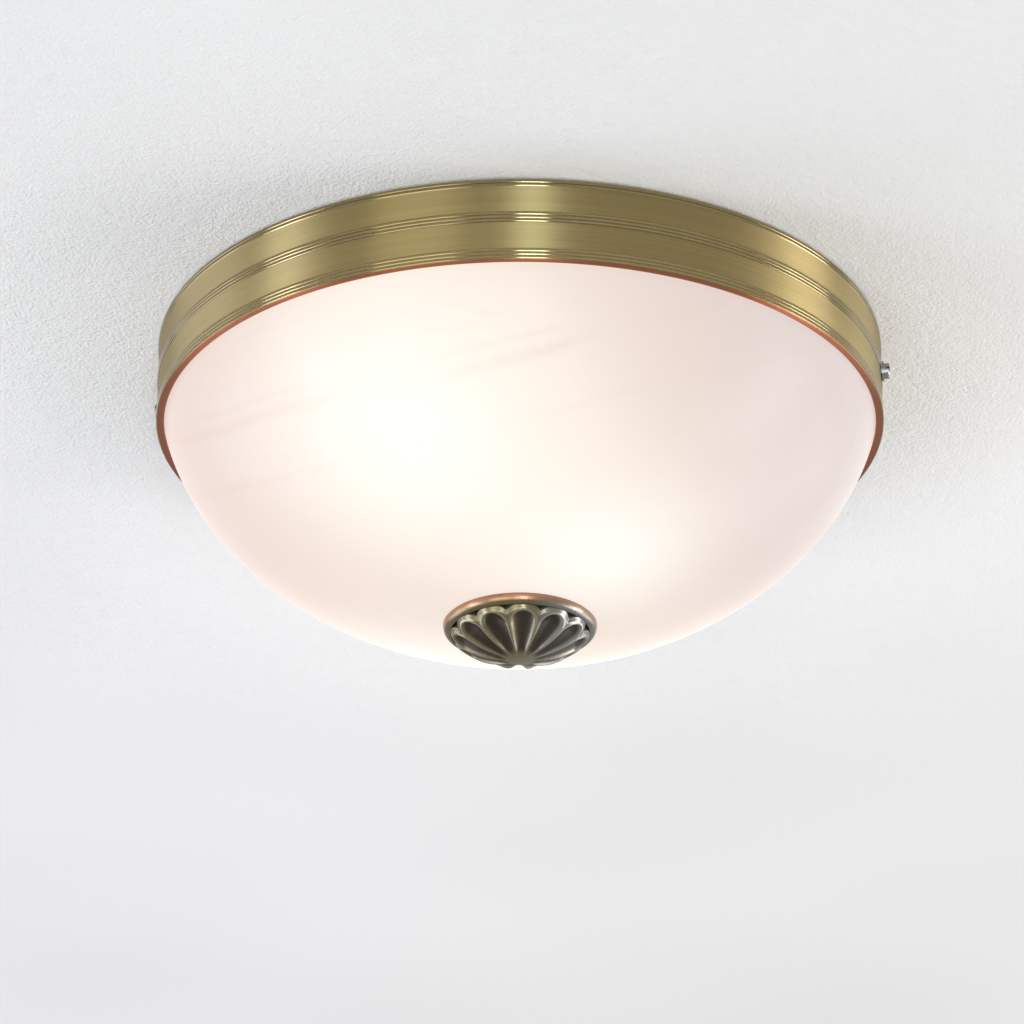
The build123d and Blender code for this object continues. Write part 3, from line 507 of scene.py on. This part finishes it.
class Paint:
    """A material with one Principled shader and short calls for its nodes."""

    def __init__(self, name):
        self.material = bpy.data.materials.new(name)
        self.material.use_nodes = True
        self.tree = self.material.node_tree
        self.shader = self.tree.nodes["Principled BSDF"]
        coordinates = self.node("ShaderNodeTexCoord")
        self.where = Value(self, coordinates.outputs["Object"])

    def node(self, kind, settings=None, sockets=None):
        made = self.tree.nodes.new(kind)
        for key, value in (settings or {}).items():
            setattr(made, key, value)
        for key, value in (sockets or {}).items():
            self.plug(made.inputs[key], value)
        return made

    def plug(self, socket, value):
        if isinstance(value, Value):
            self.tree.links.new(value.socket, socket)
        elif isinstance(value, bpy.types.NodeSocket):
            self.tree.links.new(value, socket)
        else:
            socket.default_value = value

    def set(self, **sockets):
        for key, value in sockets.items():
            self.plug(self.shader.inputs[key.replace("_", " ")], value)

    def split(self, vector=None):
        made = self.node("ShaderNodeSeparateXYZ", None, {0: vector or self.where})
        return [Value(self, s) for s in made.outputs]

    def stretch(self, scale, turn=(0.0, 0.0, 0.0)):
        made = self.node("ShaderNodeMapping", None,
                         {"Vector": self.where, "Scale": scale, "Rotation": turn})
        return Value(self, made.outputs[0])

    def noise(self, scale, detail=4.0, roughness=0.55, vector=None, distortion=0.0):
        made = self.node("ShaderNodeTexNoise", None, {
            "Vector": vector or self.where, "Scale": scale, "Detail": detail,
            "Roughness": roughness, "Distortion": distortion})
        return Value(self, made.outputs["Fac"])

    def distance(self, point, squash=(1.0, 1.0, 1.0)):
        """Distance from a point, with each axis first divided by its own stretch."""
        moved = self.node("ShaderNodeVectorMath", {"operation": "SUBTRACT"},
                          {0: self.where, 1: point})
        scaled = self.node("ShaderNodeVectorMath", {"operation": "DIVIDE"},
                           {0: moved.outputs[0], 1: squash})
        made = self.node("ShaderNodeVectorMath", {"operation": "LENGTH"}, {0: scaled.outputs[0]})
        return Value(self, made.outputs["Value"])

    def spot(self, point, size, squash=(1.0, 1.0, 1.0)):
        """A soft spot that falls off as e to the minus distance over size, squared."""
        away = self.distance(point, squash) / size
        return (-(away * away)).math("EXPONENT")

    def mix(self, share, first, second, blend="MIX"):
        made = self.node("ShaderNodeMix", {"data_type": "RGBA", "blend_type": blend},
                         {"Factor": share, 6: first, 7: second})
        return made.outputs[2]

    def attribute(self, key):
        made = self.node("ShaderNodeAttribute", {"attribute_name": key})
        return Value(self, made.outputs["Fac"])

    def bump(self, height, strength, distance):
        made = self.node("ShaderNodeBump", None,
                         {"Height": height, "Strength": strength, "Distance": distance})
        self.set(Normal=made.outputs[0])


def rgba(colour, scale=1.0):
    return (*[c * scale for c in colour[:3]], 1.0)


# Finishes

# Veins of the glass: which side they tilt to, their level (m), half width (m) and strength
VEINS = ((1.0, -0.0042, 0.0026, 1.0), (1.0, 0.0030, 0.0018, 0.6), (1.0, -0.0290, 0.0020, 0.45),
         (-1.0, -0.0042, 0.0026, 1.0), (-1.0, 0.0040, 0.0018, 0.5))


def brushed_brass(p):
    """Brass brushed round the ring, with painted shade between the reeds, coppery on the lip."""
    paint = Paint("brushed_brass")
    z = paint.split()[2]
    fine = paint.noise(1.0, 3.0, 0.6, paint.stretch((14.0, 14.0, 5200.0)))
    broad = paint.noise(1.0, 3.0, 0.5, paint.stretch((9.0, 9.0, 700.0)))
    cloud = paint.noise(11.0, 3.0, 0.5)
    tone = (fine * 0.5 + broad * 0.5).ease(0.25, 0.75)
    flat = paint.mix(tone, rgba(p.light_brass, 0.86), rgba(p.light_brass, 1.12))
    flat = paint.mix(cloud.ease(0.35, 0.75) * 0.25, flat, rgba((0.44, 0.31, 0.13)))
    groove, crest = paint.attribute("groove"), paint.attribute("crest")
    polish = crest.ease(0.05, 0.6)
    flat = paint.mix(polish * 0.8, flat, rgba((0.30, 0.235, 0.115)))
    # Painted shade: the groove value darkens the brass at the foot of each reed
    metal = paint.mix((groove * 1.15).clamp(), flat, rgba(p.groove_shade))
    lip = 1.0 - z.ease(p.bottom - 0.00002, p.bottom + 0.00035)
    paint.set(Base_Color=paint.mix(lip, metal, rgba(p.copper)), Metallic=1.0,
              Roughness=(0.40 + tone * 0.08) * (1.0 - polish * 0.78), Anisotropic=1.0,
              Anisotropic_Rotation=0.25)
    paint.bump(fine * 0.6 + broad * 0.4, 0.12, 0.0001)
    return paint.material


def alabaster(p):
    """Alabaster glass lit by painted light in its emission: pale veins, a painted pink glow near the ring, two
    painted lit spots and again half a turn on.
    """
    paint = Paint("alabaster_glass")
    x, y, z = paint.split()
    low = z.ease(-0.125, -0.040)
    cloud = paint.noise(9.0, 4.0, 0.55, distortion=0.6)
    wisp = paint.noise(1.0, 4.0, 0.6, paint.stretch((14.0, 30.0, 46.0), (0.25, 0.12, 0.55)), 1.4)
    # Painted light: lit spots, a halo and an upper glow painted into the glass's emission, warmer towards the
    # bottom
    spots = [((-0.0329, -0.1150, -0.0921), 0.054, 1.0), ((0.0431, -0.0485, -0.1224), 0.044, 0.9),
             ((0.0329, 0.1150, -0.0921), 0.054, 1.0), ((-0.0431, 0.0485, -0.1224), 0.044, 0.6)]
    lit = None
    for point, size, share in spots:
        one = paint.spot(point, size) * share
        lit = one if lit is None else lit + one
    halo = (paint.spot((-0.010, -0.106, -0.090), 0.090) + paint.spot((0.010, 0.106, -0.090), 0.090))
    upper = paint.spot((-0.035, -0.140, -0.060), 0.080) + paint.spot((0.035, 0.140, -0.060), 0.080)
    warm = (halo * 0.9 + upper * 0.55 + (1.0 - low) * 0.18).clamp()
    colour = paint.mix(warm, rgba(p.edge_glow), rgba(p.warm_glow))
    # Painted light: the glow is painted cooler towards +X, outside the halo
    cool = (x * 7.0 - 0.05).clamp() * (1.0 - halo.clamp()) * 0.85
    colour = paint.mix(cool, colour, rgba((0.635, 0.555, 0.534)))
    streak = (1.0 - (wisp - 0.5).math("ABSOLUTE").ease(0.0, 0.05)) * cloud.ease(0.42, 0.62)
    colour = paint.mix(streak * 0.10, colour, rgba((0.58, 0.46, 0.41)))
    bend = (paint.noise(11.0, 2.0, 0.5) - 0.5) * 0.016
    veins = None
    for side, level, width, share in VEINS:
        off = (x * (-0.1733 * side) + y * (-0.4501 * side) + z * 0.8760 + bend - level) / width
        one = (-(off * off)).math("EXPONENT") * share
        veins = one if veins is None else veins + one
    veins = (veins * cloud.ease(0.30, 0.55)).clamp()
    colour = paint.mix(veins * 0.32, colour, rgba((0.62, 0.45, 0.37)))
    colour = paint.mix(cloud.ease(0.45, 0.7) * 0.14, colour, rgba((0.86, 0.79, 0.73)))
    # Painted light: the brightest glow painted over the lit spots
    colour = paint.mix((lit * p.glow * 1.35).clamp(), colour, rgba((1.02, 0.98, 0.90)))
    paint.set(Base_Color=paint.mix(streak * 0.3, (0.095, 0.088, 0.084, 1.0), (0.08, 0.073, 0.066, 1.0)),
              Roughness=0.32, IOR=1.45, Emission_Color=colour, Emission_Strength=1.0)
    paint.shader.inputs["Specular IOR Level"].default_value = 0.12
    return paint.material


def antique_brass(p):
    """Cast brass with dark patina in the hollows and painted highlights along the petal edges."""
    paint = Paint("antique_brass")
    hollow, ridge, rim = (paint.attribute(key) for key in ("hollow", "ridge", "rim"))
    x, y, _ = paint.split()
    grain = paint.noise(420.0, 4.0, 0.6)
    cloud = paint.noise(60.0, 3.0, 0.5)
    dark = (hollow * 0.92 + (cloud - 0.5) * 0.35 + (grain - 0.5) * 0.2).clamp()
    # Painted reflection: the metal is painted greyer and silvery towards +X
    sheen_share = (x * 0.8 + y * 0.25).ease(-0.003, 0.012) * cloud.ease(0.2, 0.5)
    plain = paint.mix(sheen_share * 0.75, rgba(p.raised), rgba(p.side_sheen))
    wash = rim * cloud.ease(0.2, 0.5) * (1.0 - sheen_share * 0.45)
    plain = paint.mix(wash.clamp(), plain, rgba(p.rim_copper))
    metal = paint.mix(dark, plain, rgba(p.hollow))
    # Painted highlight: a thin light line along the border of each petal
    metal = paint.mix((ridge * 0.42 + (grain - 0.5) * 0.15).clamp(), metal, rgba((0.55, 0.52, 0.40)))
    paint.set(Base_Color=metal, Metallic=0.95, Roughness=0.27 + dark * 0.22 + (grain - 0.5) * 0.1)
    paint.bump(grain * 0.6 + cloud * 0.4, 0.18, 0.0003)
    return paint.material


def metal_finish(name, colour, rough, grain_scale, worn=(0.3, 0.29, 0.27), stretch=(1, 1, 1)):
    """Plated or plain metal with fine grain and cloudy tarnish."""
    paint = Paint(name)
    grain = paint.noise(1.0, 4.0, 0.6, paint.stretch(tuple(grain_scale * s for s in stretch)))
    cloud = paint.noise(grain_scale * 0.12, 3.0, 0.5)
    metal = paint.mix(grain.ease(0.3, 0.7), rgba(colour, 0.86), rgba(colour, 1.06))
    metal = paint.mix(cloud.ease(0.5, 0.75) * 0.35, metal, rgba(worn))
    paint.set(Base_Color=metal, Metallic=1.0, Roughness=rough + (grain - 0.5) * 0.16 + cloud * 0.05)
    paint.bump(grain, 0.12, 0.0001)
    return paint.material


def soft_finish(name, colour, second, rough, grain_scale, bump=0.15, coat=0.0, depth=0.0002):
    """Paint, plastic, porcelain or rubber: two close tones, fine grain and a soft bump."""
    paint = Paint(name)
    grain = paint.noise(grain_scale, 4.0, 0.55)
    cloud = paint.noise(grain_scale * 0.06, 3.0, 0.5)
    tone = (grain * 0.35 + cloud * 0.65).ease(0.35, 0.68)
    paint.set(Base_Color=paint.mix(tone, rgba(colour), rgba(second)),
              Roughness=rough + (grain - 0.5) * 0.15, Coat_Weight=coat)
    paint.bump(grain, bump, depth)
    return paint.material


def lit_frost(p):
    """Frosted bulb glass, lit, dimmer at its neck."""
    paint = Paint("bulb_frost")
    z = paint.split()[2]
    cloud = paint.noise(120.0, 3.0, 0.5)
    neck = z.ease(-0.050, -0.040)
    colour = paint.mix(neck * 0.7, rgba(p.lit), rgba((0.80, 0.60, 0.42)))
    paint.set(Base_Color=paint.mix(cloud.ease(0.3, 0.7), (0.82, 0.80, 0.76, 1), (0.9, 0.88, 0.84, 1)),
              Roughness=0.42, Emission_Color=colour, Emission_Strength=0.9)
    return paint.material


def finish_with(piece, material):
    piece.data.materials.clear()
    piece.data.materials.append(material)


# Operators


class CEILING_OT_trim_ring(bpy.types.Operator):
    """Makes the reeded brass trim ring"""

    bl_idname = "ceiling_light.trim_ring"
    bl_label = "Trim ring"

    def execute(self, context):
        p = context.scene.light_ring
        section, groove, crest = ring_section(p)
        ring = spin_loop("trim_ring_reeded", section[::-1], 384,
                         {"groove": groove[::-1], "crest": crest[::-1]})
        finish_with(ring, brushed_brass(p))
        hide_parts("trim_ring")
        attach(ring, "shade")
        return {"FINISHED"}


class CEILING_OT_glass_bowl(bpy.types.Operator):
    """Makes the veined glass bowl"""

    bl_idname = "ceiling_light.glass_bowl"
    bl_label = "Glass bowl"

    def execute(self, context):
        p = context.scene.light_bowl
        bowl = spin_loop("glass_bowl_veined", bowl_section(p), 320)
        finish_with(bowl, alabaster(p))
        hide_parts("glass_bowl")
        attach(bowl, "shade")
        return {"FINISHED"}


class CEILING_OT_rosette(bpy.types.Operator):
    """Makes the fluted rosette under the glass"""

    bl_idname = "ceiling_light.rosette"
    bl_label = "Rosette"

    def execute(self, context):
        p = context.scene.light_rosette
        rows, dark, ridge, rim = rosette_rows(p)
        piece = capped_rows("rosette_fluted", rows, {"hollow": dark, "ridge": ridge, "rim": rim})
        finish_with(piece, antique_brass(p))
        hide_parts("rosette")
        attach(piece, "shade")
        return {"FINISHED"}


class CEILING_OT_bulbs(bpy.types.Operator):
    """Makes the two frosted bulbs with their rolled caps"""

    bl_idname = "ceiling_light.bulbs"
    bl_label = "Bulbs"

    def execute(self, context):
        p = context.scene.light_bulb
        glass = lit_frost(p)
        cap_metal = metal_finish("bulb_cap_metal", (0.72, 0.72, 0.71), 0.26, 500.0)
        for number in (1, 2):
            circles = bulb_circles(number)
            cap = capped_rows(f"bulb_cap_rolled_{number}", circles(*cap_profile(p)))
            finish_with(cap, cap_metal)
            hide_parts(f"bulb_cap_{number}")
            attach(cap, f"bulb_{number}")

            loop = globe_profile(p)
            rows = circles(loop[:, :1] + 0 * BULB_TURN, loop[:, 1:] + 0 * BULB_TURN)
            globe = put_mesh(f"bulb_globe_frosted_{number}", rows.reshape(-1, 3),
                             grid_quads(len(loop), len(BULB_TURN), True))
            finish_with(globe, glass)
            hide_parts(f"bulb_globe_{number}")
            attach(globe, f"bulb_{number}")
        return {"FINISHED"}


class CEILING_OT_fittings(bpy.types.Operator):
    """Gives the pan, bracket, lampholders, leads and fasteners their finishes"""

    bl_idname = "ceiling_light.fittings"
    bl_label = "Fittings"

    def execute(self, context):
        p = context.scene.light_fittings
        white = soft_finish("pan_paint", p.white_paint, (0.80, 0.80, 0.79), 0.42, 900.0, 0.10)
        zinc = metal_finish("zinc_plate", p.zinc, 0.34, 260.0)
        nickel = metal_finish("nickel_plate", p.nickel, 0.24, 700.0, (0.22, 0.20, 0.17))
        brass = metal_finish("contact_brass", (0.70, 0.55, 0.28), 0.30, 420.0, (0.36, 0.24, 0.12))
        solder = metal_finish("solder_tin", (0.55, 0.55, 0.56), 0.45, 900.0)
        porcelain = soft_finish("glazed_porcelain", (0.88, 0.87, 0.83), (0.84, 0.82, 0.78),
                                0.22, 700.0, 0.04, 0.6)
        vitrite = soft_finish("black_vitrite", (0.02, 0.02, 0.025), (0.04, 0.035, 0.04), 0.15, 800.0)
        rubber = soft_finish("black_rubber", (0.035, 0.035, 0.035), (0.06, 0.058, 0.055), 0.7, 1500.0)
        felt = soft_finish("pale_felt", (0.78, 0.76, 0.70), (0.68, 0.66, 0.60), 0.9, 2600.0, 0.5)
        block = soft_finish("block_plastic", (0.84, 0.82, 0.75), (0.79, 0.77, 0.70), 0.42, 1200.0)
        brown = soft_finish("brown_lead", (0.20, 0.09, 0.045), (0.25, 0.12, 0.06), 0.45, 900.0)
        blue = soft_finish("blue_lead", (0.04, 0.14, 0.42), (0.06, 0.18, 0.48), 0.45, 900.0)
        finishes = {
            "pan_white": white, "zinc_steel": zinc, "nickel": nickel, "brass_plain": brass,
            "solder": solder, "porcelain": porcelain, "insulator_black": vitrite,
            "rubber_black": rubber, "gasket_felt": felt, "block_plastic": block,
            "lead_brown": brown, "lead_blue": blue}
        slots = {s["node"]: s["material_slot"] for s in frame["record"]["subparts"]}
        for node, piece in frame["nodes"].items():
            if slots[node] in finishes:
                finish_with(piece, finishes[slots[node]])
        return {"FINISHED"}


class CEILING_OT_stage(bpy.types.Operator):
    """Makes the ceiling, the lamps, the world and the camera"""

    bl_idname = "ceiling_light.stage"
    bl_label = "Stage"

    def execute(self, context):
        p = context.scene.light_stage
        points = np.array([[-4, -4, 0.0004], [4, -4, 0.0004], [4, 4, 0.0004], [-4, 4, 0.0004]])
        ceiling = put_mesh("ceiling", points, np.array([[3, 2, 1, 0]]))
        paint = Paint("ceiling_plaster")
        y = paint.split()[1]
        grain = paint.noise(620.0, 4.0, 0.7)
        roll = paint.noise(150.0, 3.0, 0.5)
        cloud = paint.noise(1.6, 2.0, 0.5)
        # Painted light: the ceiling is painted lighter towards +Y, and much lighter near the fixture, a painted
        # pool of light over the shade round the ring
        near = 1.0 - paint.distance((0.0, 0.0, 0.0)).ease(0.22, 0.50)
        tone = paint.mix(y.ease(-0.35, 0.65), rgba(p.ceiling), rgba(p.ceiling, 1.21))
        tone = paint.mix(near, tone, rgba(p.ceiling, 1.52))
        paint.set(Base_Color=paint.mix(cloud.ease(0.35, 0.65) * 0.5, tone, rgba(p.ceiling, 1.03)),
                  Roughness=0.85)
        paint.shader.inputs["Specular IOR Level"].default_value = 0.1
        paint.bump((grain * 0.6 + roll * 0.4) * (near * 0.9 + 0.1), 1.0, 0.0024)
        clear = paint.node("ShaderNodeBsdfTransparent")
        side = paint.node("ShaderNodeNewGeometry")
        way = Value(paint, paint.node("ShaderNodeLightPath").outputs["Ray Length"])
        close = way.math("LESS_THAN", CONTACT_GAP)
        hidden = close.math("MAXIMUM", side.outputs["Backfacing"])
        both = paint.node("ShaderNodeMixShader", None, {
            0: hidden, 1: paint.shader.outputs[0], 2: clear.outputs[0]})
        paint.plug(paint.tree.nodes["Material Output"].inputs["Surface"], both.outputs[0])
        finish_with(ceiling, paint.material)

        world = bpy.data.worlds.new("studio")
        context.scene.world = world
        world.use_nodes = True
        sky = world.node_tree.nodes["Background"]
        sky.inputs["Color"].default_value = (1.0, 1.0, 1.0, 1.0)
        sky.inputs["Strength"].default_value = 0.60

        def lamp(name, place, size, watts, colour):
            light = bpy.data.lights.new(name, "AREA")
            light.shape, light.size, light.size_y = "RECTANGLE", size[0], size[1]
            light.energy, light.color = watts, colour
            piece = bpy.data.objects.new(name, light)
            piece.location = place
            aim = Vector((0, 0, -0.05)) - Vector(place)
            piece.rotation_euler = aim.to_track_quat("-Z", "Y").to_euler()
            context.scene.collection.objects.link(piece)

        def strip(name, azimuth, width, watts, colour, distance=2.6):
            """A tall lamp at an azimuth, from a little below the ceiling down."""
            turn = math.radians(azimuth)
            lamp(name, (distance * math.cos(turn), distance * math.sin(turn), -1.15),
                 (width, 1.9), watts, colour)

        strip("front_strip", -79.5, 0.40, 22.0, (0.85, 1.0, 1.15))
        strip("front_left_strip", 246.0, 1.20, 18.0, (0.97, 1.0, 0.98))
        strip("right_strip", 11.0, 0.90, 38.0, (1.0, 1.0, 1.08))
        strip("left_strip", 203.0, 0.60, 26.0, (0.90, 1.0, 1.26))
        strip("far_left_strip", 168.0, 1.70, 28.0, (0.88, 0.98, 1.36))
        strip("far_right_strip", 42.0, 1.00, 15.0, (0.95, 0.99, 1.14))

        camera = bpy.data.objects.new("camera", bpy.data.cameras.new("camera"))
        context.scene.collection.objects.link(camera)
        a, e = p.azimuth, p.elevation
        camera.location = (p.distance * math.cos(e) * math.sin(a),
                           -p.distance * math.cos(e) * math.cos(a), -p.distance * math.sin(e))
        heading = a + AIM_TURN
        look = Vector((-math.sin(heading) * math.cos(AIM_LIFT),
                       math.cos(heading) * math.cos(AIM_LIFT), math.sin(AIM_LIFT)))
        camera.rotation_euler = look.to_track_quat("-Z", "Y").to_euler()
        camera.data.sensor_width = 36.0
        camera.data.lens = FOCAL_LENGTH
        camera.data.clip_end = 20.0
        context.scene.camera = camera
        context.scene.view_settings.view_transform = "Standard"
        return {"FINISHED"}


OPERATORS = (CEILING_OT_trim_ring, CEILING_OT_glass_bowl, CEILING_OT_rosette, CEILING_OT_bulbs,
             CEILING_OT_fittings, CEILING_OT_stage)
SETTINGS = {"light_ring": RingSizes, "light_bowl": BowlSizes, "light_rosette": RosetteSizes,
            "light_bulb": BulbSizes, "light_fittings": FittingColours, "light_stage": StageSettings}


class VIEW3D_PT_ceiling_light(bpy.types.Panel):
    """Sizes, colours and pieces of the ceiling light"""

    bl_idname = "VIEW3D_PT_ceiling_light"
    bl_label = "Ceiling Light"
    bl_space_type = "VIEW_3D"
    bl_region_type = "UI"
    bl_category = "Ceiling Light"

    def draw(self, context):
        for key, group in SETTINGS.items():
            box = self.layout.box()
            for name in group.__annotations__:
                box.prop(getattr(context.scene, key), name)
        for operator in OPERATORS:
            self.layout.operator(operator.bl_idname)


def register():
    for key, group in SETTINGS.items():
        bpy.utils.register_class(group)
        setattr(bpy.types.Scene, key, PointerProperty(type=group))
    for kind in (*OPERATORS, VIEW3D_PT_ceiling_light):
        bpy.utils.register_class(kind)


def unregister():
    for kind in (VIEW3D_PT_ceiling_light, *reversed(OPERATORS)):
        bpy.utils.unregister_class(kind)
    for key, group in SETTINGS.items():
        delattr(bpy.types.Scene, key)
        bpy.utils.unregister_class(group)


def main():
    register()
    bpy.ops.ceiling_light.trim_ring()
    bpy.ops.ceiling_light.glass_bowl()
    bpy.ops.ceiling_light.rosette()
    bpy.ops.ceiling_light.bulbs()
    bpy.ops.ceiling_light.fittings()
    bpy.ops.ceiling_light.stage()


if __name__ == "__main__":
    main()
